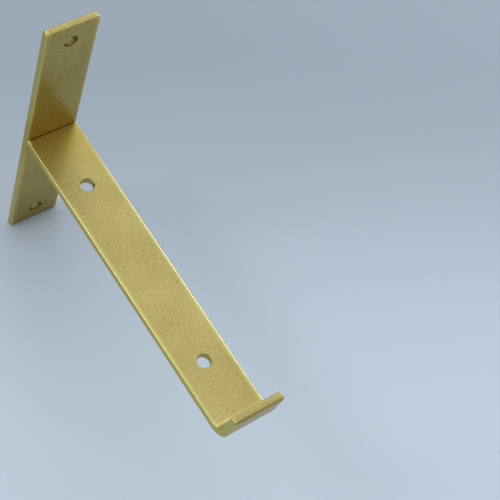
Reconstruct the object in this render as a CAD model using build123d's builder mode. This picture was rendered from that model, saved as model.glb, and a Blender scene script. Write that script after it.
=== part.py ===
from build123d import *
from math import cos, radians, sin
import os

os.makedirs("parts", exist_ok=True)

# A shelf bracket welded up from two lengths of the same flat bar.
# The back plate stands against the wall and is screwed to it near its two ends. The arm
# is cut square, butted against the middle of the plate and welded there. It runs out
# under the shelf and is folded up at the front into a short lip, which springs back a
# few degrees from square.
#
# Frame, in millimetres: the origin is on the wall face of the plate, halfway between
# the wall holes and level with the face that carries the shelf. +Z is up, +X runs
# across the bar, and the arm runs out along -Y.

# Flat bar
bar_width = 40.0
bar_thickness = 6.0
edge_radius = 1.2  # along the rolled edges, softened further by the coat
end_radius = 2.0  # over a cut end, which is dressed rounder than the rolled edges

# Back plate
plate_height = 245.0
wall_hole_diameter = 10.0
wall_hole_inset = 16.0  # from each end of the plate

# Arm and lip
shelf_room = 248.0  # plate face to the foot of the lip
lip_length = 31.0  # along its inner face, from the level of the shelf face
lip_lean = 5.0  # degrees, outwards from upright
bend_inside_radius = 8.0
shelf_hole_diameter = 10.0
shelf_hole_inset = 55.0  # wall face to the rear hole
shelf_hole_spacing = 152.0

# Both kinds of hole are deburred, and the coat rounds their mouths
hole_mouth_radius = 0.5

# Weld under the arm: one leg lies on the plate and a longer one on the arm, and the
# hollow is how far its face dips below a flat one
weld_plate_leg = 5.0
weld_arm_leg = 8.0
weld_hollow = 1.0

# Places that follow from the sizes
shelf_face_z = 0.0
arm_underside_z = shelf_face_z - bar_thickness
plate_face_y = -bar_thickness
lip_foot_y = plate_face_y - shelf_room
lean_cos, lean_sin = cos(radians(lip_lean)), sin(radians(lip_lean))
wall_hole_height = plate_height / 2 - wall_hole_inset
weld_length = bar_width - 2 * edge_radius  # the flat of the bar, between its edges

# Back plate, drawn from the side with its dressed ends and widened to the bar
with BuildPart() as back_plate:
    with BuildSketch(Plane.YZ.offset(-bar_width / 2)):
        with Locations((plate_face_y / 2, shelf_face_z)):
            RectangleRounded(bar_thickness, plate_height, end_radius)
    extrude(amount=bar_width)
    fillet(back_plate.faces().filter_by(Axis.X).edges(), edge_radius)

    with BuildSketch(Plane.XZ):
        with Locations((0, wall_hole_height), (0, -wall_hole_height)):
            Circle(wall_hole_diameter / 2)
    extrude(amount=bar_thickness, mode=Mode.SUBTRACT)
    fillet(back_plate.edges(Select.LAST).filter_by(GeomType.CIRCLE), hole_mouth_radius)
back_plate.part.label = "back_plate"

# Shelf arm, drawn from the side with its fold and widened to the bar
with BuildPart() as shelf_arm:
    with BuildSketch(Plane.YZ.offset(-bar_width / 2)) as fold:
        lip_foot = (lip_foot_y, shelf_face_z)
        lip_top_y = lip_foot_y - lip_length * lean_sin
        lip_top_z = shelf_face_z + lip_length * lean_cos
        lip_front_y = lip_top_y - bar_thickness * lean_cos
        lip_front_z = lip_top_z - bar_thickness * lean_sin
        outside_foot = (lip_foot_y - bar_thickness * (1 - lean_sin) / lean_cos, arm_underside_z)
        with BuildLine():
            Polyline(
                (plate_face_y, shelf_face_z),
                lip_foot,
                (lip_top_y, lip_top_z),
                (lip_front_y, lip_front_z),
                outside_foot,
                (plate_face_y, arm_underside_z),
                close=True,
            )
        make_face()
        fillet(fold.vertices().sort_by_distance(lip_foot)[0], bend_inside_radius)
        fillet(fold.vertices().sort_by_distance(outside_foot)[0], bend_inside_radius + bar_thickness)
        lip_end = fold.vertices().sort_by_distance((lip_top_y, lip_top_z))[:2]
        fillet(lip_end, end_radius)
    extrude(amount=bar_width)

    # The bar's edges are rounded all along the fold, and the butted end stays square
    outline = shelf_arm.faces().filter_by(Axis.X).edges()
    butted_end = outline.group_by(Axis.Y)[-1]
    fillet(outline - butted_end, edge_radius)

    with BuildSketch(Plane.XY.offset(shelf_face_z)):
        with Locations((0, -shelf_hole_inset), (0, -shelf_hole_inset - shelf_hole_spacing)):
            Circle(shelf_hole_diameter / 2)
    extrude(amount=-bar_thickness, mode=Mode.SUBTRACT)
    fillet(shelf_arm.edges(Select.LAST).filter_by(GeomType.CIRCLE), hole_mouth_radius)
shelf_arm.part.label = "shelf_arm"

# Weld bead in the corner under the arm. The shelf side has none, so that a board can
# lie against the plate.
with BuildPart() as weld_bead:
    with BuildSketch(Plane.YZ.offset(-weld_length / 2)):
        corner = (plate_face_y, arm_underside_z)
        plate_toe = (plate_face_y, arm_underside_z - weld_plate_leg)
        arm_toe = (plate_face_y - weld_arm_leg, arm_underside_z)
        with BuildLine():
            Line(arm_toe, corner)
            Line(corner, plate_toe)
            SagittaArc(plate_toe, arm_toe, -weld_hollow)
        make_face()
    extrude(amount=weld_length)
weld_bead.part.label = "weld_bead"

export_step(back_plate.part, "parts/back_plate.step")
export_step(shelf_arm.part, "parts/shelf_arm.step")
export_step(weld_bead.part, "parts/weld_bead.step")
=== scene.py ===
# %% [markdown]
# # A coated steel shelf bracket
#
# The bracket is two lengths of 40 x 6 mm flat bar. One stands against the wall. The
# other is butted against its middle, welded there from below, and folded up at the
# front into a lip. Both are powder coated together, in a satin gold with a fine
# metallic grain.
#
# The bars already have their final shape and size, so this lesson gives them their
# finish, models the weld as a welder leaves it, and lights the bracket for its picture.

# %% The frame
import math

import bpy
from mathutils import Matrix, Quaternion, Vector


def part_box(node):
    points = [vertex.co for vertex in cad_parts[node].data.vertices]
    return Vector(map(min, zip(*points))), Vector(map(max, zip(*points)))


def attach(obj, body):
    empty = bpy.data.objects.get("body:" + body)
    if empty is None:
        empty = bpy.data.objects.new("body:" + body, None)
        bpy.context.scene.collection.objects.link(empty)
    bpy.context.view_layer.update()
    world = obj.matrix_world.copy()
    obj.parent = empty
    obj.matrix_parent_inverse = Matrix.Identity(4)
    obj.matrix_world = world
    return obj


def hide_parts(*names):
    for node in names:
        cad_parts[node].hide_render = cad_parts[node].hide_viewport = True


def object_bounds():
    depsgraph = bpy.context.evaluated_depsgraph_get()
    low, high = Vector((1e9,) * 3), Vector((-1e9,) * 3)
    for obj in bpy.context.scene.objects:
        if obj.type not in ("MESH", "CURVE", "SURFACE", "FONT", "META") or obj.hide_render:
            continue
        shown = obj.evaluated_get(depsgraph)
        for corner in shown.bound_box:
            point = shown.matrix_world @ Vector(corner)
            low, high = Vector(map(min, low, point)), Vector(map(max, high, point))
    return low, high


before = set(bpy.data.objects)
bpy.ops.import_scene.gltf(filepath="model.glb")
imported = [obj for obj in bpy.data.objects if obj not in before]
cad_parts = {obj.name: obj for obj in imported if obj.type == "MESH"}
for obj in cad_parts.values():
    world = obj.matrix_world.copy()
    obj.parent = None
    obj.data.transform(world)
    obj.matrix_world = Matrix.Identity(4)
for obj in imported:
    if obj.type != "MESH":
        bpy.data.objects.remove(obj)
cad_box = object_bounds()
MM = 0.001
plate_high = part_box("back_plate")[1]
arm_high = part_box("shelf_arm")[1]
bead_low, bead_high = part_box("weld_bead")
print("bars:", [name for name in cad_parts])

# %% [markdown]
# ## Colours and nodes
#
# Colours are written as sRGB hex values, the way a paint chart gives them. Blender
# shades in linear light, so one function turns a hex value into linear numbers.
# A second function adds a shader node, sets its values and links its inputs, which
# keeps each material short enough to read from top to bottom. Two more build on it for
# what is needed again and again: a value that rises smoothly, and a mix of two colours.


# %% Colour and node helpers
def linear(hex_colour):
    """Turns an sRGB hex colour such as #AA9955 into linear red, green, blue and alpha."""
    channels = [int(hex_colour[place:place + 2], 16) / 255 for place in (1, 3, 5)]
    return [c / 12.92 if c <= 0.04045 else ((c + 0.055) / 1.055) ** 2.4 for c in channels] + [1]


def add_node(tree, kind, inputs=None, **settings):
    """Adds a node, sets its own settings, and gives each input a value or a link."""
    node = tree.nodes.new(kind)
    for name, value in settings.items():
        setattr(node, name, value)
    for name, value in (inputs or {}).items():
        if isinstance(value, bpy.types.NodeSocket):
            tree.links.new(value, node.inputs[name])
        else:
            node.inputs[name].default_value = value
    return node


def smooth_rise(tree, value, span, start=0.0, end=1.0):
    """Goes smoothly from start to end while a value goes across a span."""
    node = add_node(tree, "ShaderNodeMapRange", {
        "Value": value, "From Min": span[0], "From Max": span[1],
        "To Min": start, "To Max": end,
    }, interpolation_type="SMOOTHSTEP")
    return node.outputs["Result"]


def mix_colours(tree, factor, first, second):
    """Mixes two colours: a factor of 0 gives the first one, and 1 the second."""
    inputs = {"Factor": factor, "A": first, "B": second}
    return add_node(tree, "ShaderNodeMix", inputs, data_type="RGBA").outputs["Result"]


def new_material(name):
    """Starts a material with nothing in it."""
    material = bpy.data.materials.new(name)
    material.use_nodes = True
    material.node_tree.nodes.clear()
    return material, material.node_tree


# %% [markdown]
# ## Satin gold powder coat
#
# Powder coat is sprayed on as dry powder and baked until it flows. A gold one holds
# fine metal flakes under a clear resin, so it reflects like brass that has been dulled:
# coloured reflections, spread by a fairly rough surface. The powder never flows quite
# flat. That leaves a waviness a few millimetres across, which people call orange peel,
# and the flakes give a grain far finer than that.
#
# Such flakes are roughly 0.1 mm. One pixel of this picture is about 0.7 mm, so flakes
# of that size would vanish, and the grain is drawn 1 to 2 mm across instead.
#
# Four tones depend on the place. They were set to suit one picture of the bracket. Two of them,
# round the corner and in the wall holes, are painted reflection; for the other two, what causes
# them on the real thing isn't known:
#
# - A paler, raised rim runs along the edges of the bars.
# - The line where the arm meets the plate is reddish brown.
# - The coat round that line is painted a shade warmer, as a painted reflection: the two bars
#   mirror each other there, and this warm tint is painted on top of what their own reflections
#   give.
# - The wall holes are painted darker inside, as a painted reflection. It only imitates dark
#   surroundings that a glossy coat would mirror, so leave it out where the bracket is lit
#   another way.
#
# The material draws the rim by the distance from the middle of the bar, the line and the painted
# reflection round it by the distance from that corner, and the painted dark in the wall holes by
# the distance from their axis.

# %% The powder coat
GRAIN = 1.6 * MM  # the coarsest of three layers of grain, each half the size of the last
GRAIN_DEPTH = 0.018 * MM
FLAKE = 1.0 * MM
ORANGE_PEEL = 6.0 * MM
CLOUD = 45.0 * MM
CLOUD_SHARE = 0.35  # how much of the tone follows the clouding, and not the grain
NOISE_SPAN = {"From Min": 0.3, "From Max": 0.7}  # where most of a noise's values lie
RIM_WIDTH = 4.0 * MM
RIM_HEIGHT = 0.10 * MM
LINE_WIDTH = 0.45 * MM
LINE_ENDS = (-15.9 * MM, 17.7 * MM)  # the tacks cover the rest of the corner
LINE_EDGE = (0.4 * LINE_WIDTH, 2.0 * LINE_WIDTH)  # from full brown to none
LINE_WANDER = 0.6 * MM  # how far its edge strays to either side
LINE_BROWN = "#7E4A22"
# Round the corner line a warm gold is painted in: a painted reflection of the two bars in each
# other
PAINTED_REFLECTION_ZONE = (6.0 * MM, 42.0 * MM)  # from the corner line to where the warm tone ends
PAINTED_REFLECTION_SHARE = 0.65  # how much of the warm tone is mixed in at the corner
PAINTED_REFLECTION_GOLD = "#B0943A"
WALL_HOLE_LEVEL = plate_high[2] - 16.0 * MM  # the plate is as tall below the arm as above it
WALL_HOLE_WALL = (5.05 * MM, 5.30 * MM)  # from the wall of the hole to its rounded mouth
# The dark painted inside the wall holes: a painted reflection of dark surroundings
PAINTED_HOLE_REFLECTION = "#7C6C30"
GLANCING_TINT = "#F0E6C4"  # what the coat reflects at a glancing angle


def powder_coat(name, gold, deep_gold, rim_gold, peel_depth, roughness):
    """Makes a metallic powder coat from its tones, its orange peel and its gloss, with painted
    reflection round the corner line and in the wall holes.
    """
    material, tree = new_material(name)
    place = add_node(tree, "ShaderNodeTexCoord").outputs["Object"]

    def noise(size, **inputs):
        """Adds a noise whose coarsest layer has this size, and returns its value."""
        inputs = {"Vector": place, "Scale": 1 / size, **inputs}
        return add_node(tree, "ShaderNodeTexNoise", inputs).outputs["Fac"]

    grain = noise(GRAIN, Detail=2.0, Roughness=0.75)
    cloud = noise(CLOUD, Detail=2.0)
    peel = noise(ORANGE_PEEL, Detail=1.0)
    flakes = add_node(tree, "ShaderNodeTexVoronoi", {"Vector": place, "Scale": 1 / FLAKE})

    # The tone follows the grain, with a little slow clouding
    grain_tone = add_node(tree, "ShaderNodeMapRange", {"Value": grain, **NOISE_SPAN})
    cloud_tone = add_node(tree, "ShaderNodeMapRange", {"Value": cloud, **NOISE_SPAN})
    tone = add_node(tree, "ShaderNodeMix", {
        "Factor": CLOUD_SHARE,
        "A": grain_tone.outputs["Result"],
        "B": cloud_tone.outputs["Result"],
    }, data_type="FLOAT")
    colour = add_node(tree, "ShaderNodeValToRGB", {"Fac": tone.outputs["Result"]})
    colour.color_ramp.elements[0].color = linear(deep_gold)
    colour.color_ramp.elements[1].color = linear(gold)

    # The rim: how far a point is from the middle of the bar, which lies at X = 0
    along = add_node(tree, "ShaderNodeSeparateXYZ", {"Vector": place}).outputs
    from_middle = add_node(tree, "ShaderNodeMath", {0: along["X"]}, operation="ABSOLUTE")
    rim = smooth_rise(tree, from_middle.outputs["Value"], (arm_high[0] - RIM_WIDTH, arm_high[0]))
    coat_colour = mix_colours(tree, rim, colour.outputs["Color"], linear(rim_gold))

    # The corner line and the painted reflection round it: the distance from the nearest point of
    # its length
    nearest_x = add_node(tree, "ShaderNodeClamp", {
        "Value": along["X"], "Min": LINE_ENDS[0], "Max": LINE_ENDS[1],
    })
    nearest = add_node(tree, "ShaderNodeCombineXYZ", {
        "X": nearest_x.outputs["Result"], "Y": arm_high[1], "Z": 0.0,
    })
    from_line = add_node(tree, "ShaderNodeVectorMath", {
        0: place, 1: nearest.outputs["Vector"],
    }, operation="DISTANCE").outputs["Value"]
    # Painted reflection: the warm gold is mixed in near the corner, on top of the real mirroring
    painted_reflection = smooth_rise(tree, from_line, PAINTED_REFLECTION_ZONE, PAINTED_REFLECTION_SHARE, 0.0)
    coat_colour = mix_colours(tree, painted_reflection, coat_colour, linear(PAINTED_REFLECTION_GOLD))
    wander = add_node(tree, "ShaderNodeMath", {
        0: peel, 1: 2 * LINE_WANDER, 2: -LINE_WANDER,
    }, operation="MULTIPLY_ADD")
    edge = add_node(tree, "ShaderNodeMath", {
        0: from_line, 1: wander.outputs["Value"],
    }, operation="ADD")
    beside_line = smooth_rise(tree, edge.outputs["Value"], LINE_EDGE)
    coat_colour = mix_colours(tree, beside_line, linear(LINE_BROWN), coat_colour)

    # The painted dark reflection in the wall holes: the distance from the axis of the nearer one
    level = add_node(tree, "ShaderNodeMath", {0: along["Z"]}, operation="ABSOLUTE")
    above_hole = add_node(tree, "ShaderNodeMath", {
        0: level.outputs["Value"], 1: WALL_HOLE_LEVEL,
    }, operation="SUBTRACT")
    off_axis = add_node(tree, "ShaderNodeCombineXYZ", {
        "X": along["X"], "Y": 0.0, "Z": above_hole.outputs["Value"],
    })
    from_axis = add_node(tree, "ShaderNodeVectorMath", {
        0: off_axis.outputs["Vector"],
    }, operation="LENGTH")
    outside_hole = smooth_rise(tree, from_axis.outputs["Value"], WALL_HOLE_WALL)
    coat_colour = mix_colours(tree, outside_hole, linear(PAINTED_HOLE_REFLECTION), coat_colour)

    # Each flake lies at its own angle, which shows as its own sharpness of reflection
    gloss = add_node(tree, "ShaderNodeMapRange", {
        "Value": flakes.outputs["Color"], "To Min": roughness[0], "To Max": roughness[1],
    })

    waves = add_node(tree, "ShaderNodeBump", {
        "Height": peel, "Strength": 1.0, "Distance": peel_depth,
    })
    raised_rim = add_node(tree, "ShaderNodeBump", {
        "Height": rim, "Normal": waves.outputs["Normal"],
        "Strength": 1.0, "Distance": -RIM_HEIGHT,
    })
    bumps = add_node(tree, "ShaderNodeBump", {
        "Height": grain, "Normal": raised_rim.outputs["Normal"],
        "Strength": 1.0, "Distance": GRAIN_DEPTH,
    })
    coat = add_node(tree, "ShaderNodeBsdfPrincipled", {
        "Base Color": coat_colour,
        "Metallic": 0.9,
        "Specular Tint": linear(GLANCING_TINT),
        "Roughness": gloss.outputs["Result"],
        "Normal": bumps.outputs["Normal"],
        "Coat Weight": 0.3,
        "Coat Roughness": 0.2,
    })
    add_node(tree, "ShaderNodeOutputMaterial", {"Surface": coat.outputs["BSDF"]})
    return material


bar_coat = powder_coat(
    "satin_gold_powder_coat", gold="#C2AC66", deep_gold="#978141", rim_gold="#C4B468",
    peel_depth=0.05 * MM, roughness=(0.27, 0.36),
)
weld_coat = powder_coat(
    "satin_gold_coat_on_weld", gold="#BFA962", deep_gold="#A48F4C", rim_gold="#C2AA5A",
    peel_depth=0.08 * MM, roughness=(0.24, 0.34),
)
for node_name, coat in (
    ("back_plate", bar_coat), ("shelf_arm", bar_coat), ("weld_bead", weld_coat),
):
    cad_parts[node_name].data.materials.clear()
    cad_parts[node_name].data.materials.append(coat)

# %% [markdown]
# ## The weld under the arm
#
# One fillet bead runs across the bar, in the corner under the arm. Nothing on it is
# ground, so it has a hollow face, slightly wandering toes and fine ripples, and the coat
# only softens them. The camera can't see it, so its finer form is a guess.
#
# It could be drawn as one curved strip, but a strip has no ends. So it is made by
# cutting: a block fills the corner, and a roller with fine grooves hollows it out, which
# leaves one ripple at each groove. A fine remesh with a little smoothing rounds what is
# left, and a slow cloud of displacement makes the toes wander. The block starts a little
# inside both bars, and is trimmed flush with them at the end.

# %% Helpers for modelling
TRIM_SIZE = 100 * MM  # far more than any weld
SLIVER = 0.01 * MM  # points closer than this are merged after a cut


def deselect_all():
    """Leaves nothing selected, because an operator acts on all that is selected."""
    bpy.ops.object.select_all(action="DESELECT")


def settle(piece, name):
    """Names a piece and moves its place, turn and scale into its mesh."""
    deselect_all()
    bpy.context.view_layer.objects.active = piece
    piece.select_set(True)
    bpy.ops.object.transform_apply(location=True, rotation=True, scale=True)
    piece.name = name
    return piece


def apply_modifier(piece, kind, **settings):
    """Adds one modifier with its settings and applies it."""
    deselect_all()
    bpy.context.view_layer.objects.active = piece
    piece.select_set(True)
    modifier = piece.modifiers.new(kind.title(), kind)
    for name, value in settings.items():
        setattr(modifier, name, value)
    bpy.ops.object.modifier_apply(modifier=modifier.name)


def trim(piece, high):
    """Cuts off what stands beyond a corner in any direction, and closes the cuts."""
    deselect_all()
    low = high - Vector((1, 1, 1)) * TRIM_SIZE
    bpy.ops.mesh.primitive_cube_add(size=TRIM_SIZE, location=(low + high) / 2)
    keep = settle(bpy.context.object, "trim_box")
    apply_modifier(piece, "BOOLEAN", operation="INTERSECT", object=keep, solver="EXACT")
    bpy.data.objects.remove(keep)
    bpy.ops.object.mode_set(mode="EDIT")
    bpy.ops.mesh.select_all(action="SELECT")
    bpy.ops.mesh.remove_doubles(threshold=SLIVER)
    bpy.ops.mesh.dissolve_degenerate(threshold=SLIVER)
    bpy.ops.mesh.fill_holes(sides=0)
    bpy.ops.mesh.normals_make_consistent(inside=False)
    bpy.ops.object.mode_set(mode="OBJECT")


# %% The weld bead
INTO_BARS = 0.6 * MM
WELD_HOLLOW = 1.0 * MM
RIPPLE_PITCH = 1.6 * MM
RIPPLE_DEPTH = 0.16 * MM
ROLLER_SIDES = 160
TOE_WANDER = 0.5 * MM
TOE_WANDER_LENGTH = 5.0 * MM
FIRST_REMESH = 0.25 * MM
LAST_REMESH = 0.22 * MM
SMOOTH_BELOW = math.radians(40)  # edges flatter than this are shaded smooth
plate_face_y = bead_high[1]
arm_underside_z = bead_high[2]
plate_leg = bead_high[2] - bead_low[2]
arm_leg = bead_high[1] - bead_low[1]

deselect_all()
block_size = (bead_high[0] - bead_low[0], arm_leg + INTO_BARS, plate_leg + INTO_BARS)
block_y = plate_face_y + INTO_BARS - block_size[1] / 2
block_z = arm_underside_z + INTO_BARS - block_size[2] / 2
bpy.ops.mesh.primitive_cube_add(size=1, scale=block_size, location=(0, block_y, block_z))
bead = settle(bpy.context.object, "coated_weld_bead")

# The hollow is the arc through both toes that dips by WELD_HOLLOW below a flat face
toe_to_toe = Vector((0, arm_leg, -plate_leg))
outwards = Vector((0, -plate_leg, -arm_leg)).normalized()
hollow_radius = toe_to_toe.length ** 2 / (8 * WELD_HOLLOW) + WELD_HOLLOW / 2
face_middle = Vector((0, plate_face_y - arm_leg / 2, arm_underside_z - plate_leg / 2))
roller_length = block_size[0] + 4 * RIPPLE_PITCH
roller_end = Vector((roller_length / 2, 0, 0))
groove_scale = 1 - RIPPLE_DEPTH / hollow_radius
bpy.ops.mesh.primitive_circle_add(
    radius=hollow_radius, vertices=ROLLER_SIDES, fill_type="NGON", rotation=(0, math.pi / 2, 0),
    location=face_middle + outwards * (hollow_radius - WELD_HOLLOW) - roller_end,
)
roller = settle(bpy.context.object, "grooved_roller")
bpy.ops.object.mode_set(mode="EDIT")
bpy.ops.mesh.select_all(action="SELECT")
half_pitch = RIPPLE_PITCH / 2
for step in range(round(roller_length / half_pitch)):
    bpy.ops.mesh.extrude_region_move(TRANSFORM_OT_translate={"value": (half_pitch, 0, 0)})
    groove = groove_scale if step % 2 == 0 else 1 / groove_scale
    bpy.ops.transform.resize(value=(1, groove, groove))
bpy.ops.mesh.select_all(action="SELECT")
bpy.ops.mesh.normals_make_consistent(inside=False)
bpy.ops.object.mode_set(mode="OBJECT")
apply_modifier(bead, "BOOLEAN", operation="DIFFERENCE", object=roller, solver="EXACT")
bpy.data.objects.remove(roller)

apply_modifier(bead, "REMESH", mode="VOXEL", voxel_size=FIRST_REMESH)
apply_modifier(bead, "SMOOTH", factor=0.5, iterations=3)
wandering = bpy.data.textures.new("wandering_toes", "CLOUDS")
wandering.noise_scale = TOE_WANDER_LENGTH
apply_modifier(
    bead, "DISPLACE", texture=wandering, texture_coords="LOCAL",
    strength=TOE_WANDER, mid_level=0.45,
)
apply_modifier(bead, "REMESH", mode="VOXEL", voxel_size=LAST_REMESH)
trim(bead, Vector((TRIM_SIZE / 2, plate_face_y, arm_underside_z)))
bpy.ops.object.shade_smooth_by_angle(angle=SMOOTH_BELOW)
bead_start = min(vertex.co.x for vertex in bead.data.vertices)
print("weld bead:", len(bead.data.polygons), "faces, x from", round(bead_start, 4))

bead.data.materials.append(weld_coat)
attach(bead, "root")
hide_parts("weld_bead")

# %% [markdown]
# ## The tacks on the shelf side
#
# A small tack sits at each end of the corner on the shelf side, as if it had held the
# arm while the bead was run. Each wraps round the arm's rounded edge and stands less
# than half a millimetre above the shelf face. Each is a ball pressed long and flat and
# laid against the rounded edge, then roughened and cut off at the plate. The left one is
# longer than the right one. They are only a few pixels long, so their sizes are judged.

# %% The tacks
TACK_LEAN = math.radians(36)  # how far its flat side turns from the shelf face to the side
TACK_SINK = 0.3  # how deep its middle lies in the edge, as a share of its thickness
TACK_FROM_SIDE = 0.80 * MM  # where it meets the rounded edge, in from the side of the arm
TACK_FROM_FACE = 0.70 * MM  # and down from the shelf face
TACK_REMESH = 0.15 * MM
TACK_LUMPS = 0.2 * MM
TACK_LUMP_SIZE = 1.6 * MM
TACK_SMOOTH_BELOW = math.radians(50)

lumps = bpy.data.textures.new("tack_lumps", "CLOUDS")
lumps.noise_scale = TACK_LUMP_SIZE


def add_tack(name, side, reach, width, thickness):
    """Adds one tack over the arm's edge, at X < 0 for side -1 and at X > 0 for side 1."""
    deselect_all()
    sunk = TACK_SINK * thickness
    edge_x = arm_high[0] - TACK_FROM_SIDE
    middle_x = side * (edge_x - sunk * math.sin(TACK_LEAN))
    middle_z = -TACK_FROM_FACE - sunk * math.cos(TACK_LEAN)
    bpy.ops.mesh.primitive_uv_sphere_add(
        radius=0.5, segments=48, ring_count=24,
        scale=(width, 2 * reach, thickness), rotation=(0, side * TACK_LEAN, 0),
        location=(middle_x, plate_face_y, middle_z),
    )
    tack = settle(bpy.context.object, name)
    apply_modifier(tack, "REMESH", mode="VOXEL", voxel_size=TACK_REMESH)
    apply_modifier(
        tack, "DISPLACE", texture=lumps, texture_coords="LOCAL",
        strength=TACK_LUMPS, mid_level=0.5,
    )
    trim(tack, Vector((TRIM_SIZE / 2, plate_face_y, TRIM_SIZE / 2)))
    bpy.ops.object.shade_smooth_by_angle(angle=TACK_SMOOTH_BELOW)
    tack.data.materials.append(weld_coat)
    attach(tack, "root")
    top = max(vertex.co.z for vertex in tack.data.vertices) / MM
    print(name, "top", round(top, 2), "mm above the shelf face")


add_tack("weld_tack_left", -1, reach=6.2 * MM, width=4.4 * MM, thickness=2.8 * MM)
add_tack("weld_tack_right", 1, reach=2.8 * MM, width=3.4 * MM, thickness=2.2 * MM)

# %% [markdown]
# ## Floor
#
# A plain pale floor lies at the foot of the back plate. It is matt, so that it takes soft
# shadows and gives the bars something even to reflect. Its colour carries painted light: it is
# painted lighter towards the front than towards the back.

# %% The floor
FLOOR_SIZE = 8.0
# The floor's colour carries painted light: painted shade at the back, painted light at the front
FLOOR_BACK = (0.10, 0.14, 0)  # where it is darkest
FLOOR_FRONT = (-0.07, -0.20, 0)  # where it is lightest
FLOOR_PAINTED_SHADE_TONE = "#9CA1A7"
FLOOR_PAINTED_LIGHT_TONE = "#C9CFD3"

floor_height = cad_box[0][2]
bpy.ops.mesh.primitive_plane_add(size=FLOOR_SIZE, location=(0, 0, floor_height))
floor = settle(bpy.context.object, "floor")
floor_paint, floor_tree = new_material("matt_pale_floor_with_painted_light")
floor_place = add_node(floor_tree, "ShaderNodeTexCoord").outputs["Object"]
to_front = Vector(FLOOR_FRONT) - Vector(FLOOR_BACK)
from_back = add_node(floor_tree, "ShaderNodeVectorMath", {
    0: floor_place, 1: FLOOR_BACK,
}, operation="SUBTRACT")
frontness = add_node(floor_tree, "ShaderNodeVectorMath", {
    0: from_back.outputs["Vector"], 1: to_front / to_front.length_squared,
}, operation="DOT_PRODUCT")
# Painted light: the floor's colour goes from the darker tone at the back to the lighter one at
# the front
painted_floor_light = smooth_rise(floor_tree, frontness.outputs["Value"], (0.0, 1.0))
floor_shader = add_node(floor_tree, "ShaderNodeBsdfPrincipled", {
    "Base Color": mix_colours(
        floor_tree, painted_floor_light, linear(FLOOR_PAINTED_SHADE_TONE), linear(FLOOR_PAINTED_LIGHT_TONE),
    ),
    "Roughness": 0.7,
})
add_node(floor_tree, "ShaderNodeOutputMaterial", {"Surface": floor_shader.outputs["BSDF"]})
floor.data.materials.append(floor_paint)

# %% [markdown]
# ## Light
#
# A satin metal shows the room it stands in, so the room is made first: pale all round,
# brightest up and behind the bracket as if a row of windows were there, and dimmer on
# the near side. One large softbox overhead adds the soft shadows.

# %% The room
WINDOW_SIDE = Vector((0.45, 0.70, 0.55)).normalized()
WINDOW_SPAN = (-0.3, 0.9)  # how far towards the windows the room starts and ends to brighten
DIM_SIDE_LEVEL = 0.60
WINDOW_SIDE_LEVEL = 1.05
DAYLIGHT = "#E7F3FF"

room = bpy.data.worlds.new("pale_room")
bpy.context.scene.world = room
room.use_nodes = True
room_tree = room.node_tree
room_tree.nodes.clear()
direction = add_node(room_tree, "ShaderNodeTexCoord").outputs["Generated"]
towards_windows = add_node(room_tree, "ShaderNodeVectorMath", {
    0: direction, 1: WINDOW_SIDE,
}, operation="DOT_PRODUCT")
room_level = smooth_rise(
    room_tree, towards_windows.outputs["Value"], WINDOW_SPAN, DIM_SIDE_LEVEL, WINDOW_SIDE_LEVEL,
)
room_light = add_node(room_tree, "ShaderNodeBackground", {
    "Color": linear(DAYLIGHT), "Strength": room_level,
})
add_node(room_tree, "ShaderNodeOutputWorld", {"Surface": room_light.outputs["Background"]})

# %% The softboxes
bracket_middle = Vector((
    (cad_box[0][0] + cad_box[1][0]) / 2, (cad_box[0][1] + cad_box[1][1]) / 2, 0,
))


def add_softbox(name, direction, distance, size, power):
    """Adds a square area light that faces the middle of the bracket."""
    lamp = bpy.data.lights.new(name, "AREA")
    lamp.shape = "SQUARE"
    lamp.size = size
    lamp.energy = power
    lamp.color = linear(DAYLIGHT)[:3]
    softbox = bpy.data.objects.new(name, lamp)
    bpy.context.scene.collection.objects.link(softbox)
    away = Vector(direction).normalized()
    softbox.location = bracket_middle + away * distance
    softbox.rotation_euler = (-away).to_track_quat("-Z", "Y").to_euler()
    softbox.visible_camera = False


add_softbox("overhead_softbox", (0.30, 0.35, 0.90), distance=1.6, size=1.6, power=3.2)

# Two small ones to either side draw the bright line along the rounded edges, and one
# behind the bracket lights the inside of the fold
add_softbox("right_edge_softbox", (0.95, 0.27, 0.12), distance=1.5, size=0.5, power=6.5)
add_softbox("left_edge_softbox", (-0.62, 0.30, 0.72), distance=1.5, size=0.4, power=3.6)
add_softbox("window_softbox", (0.36, 0.80, 0.42), distance=1.8, size=0.5, power=1.8)

# %% [markdown]
# ## Camera
#
# The photograph was taken from above and to the left with a long lens, and the bracket
# lay tilted in front of it. Here the bracket stands as it is fixed, so the camera takes
# on that tilt: it looks steeply down and is rolled about its own line of sight.

# %% The camera
CAMERA_PLACE = Vector((-0.3697, -0.4403, 0.8540))
CAMERA_AIM = Vector((0.0759, -0.1512, 0.0))
CAMERA_ROLL = math.radians(26.36)
CAMERA_LENS = 103.0
CAMERA_SENSOR = 36.0

lens = bpy.data.cameras.new("camera")
lens.sensor_width = CAMERA_SENSOR
lens.lens = CAMERA_LENS
camera = bpy.data.objects.new("camera", lens)
bpy.context.scene.collection.objects.link(camera)
camera.location = CAMERA_PLACE
level_view = (CAMERA_AIM - CAMERA_PLACE).to_track_quat("-Z", "Y")
camera.rotation_mode = "QUATERNION"
camera.rotation_quaternion = level_view @ Quaternion((0, 0, 1), CAMERA_ROLL)
bpy.context.scene.camera = camera
bpy.context.scene.view_settings.view_transform = "Standard"
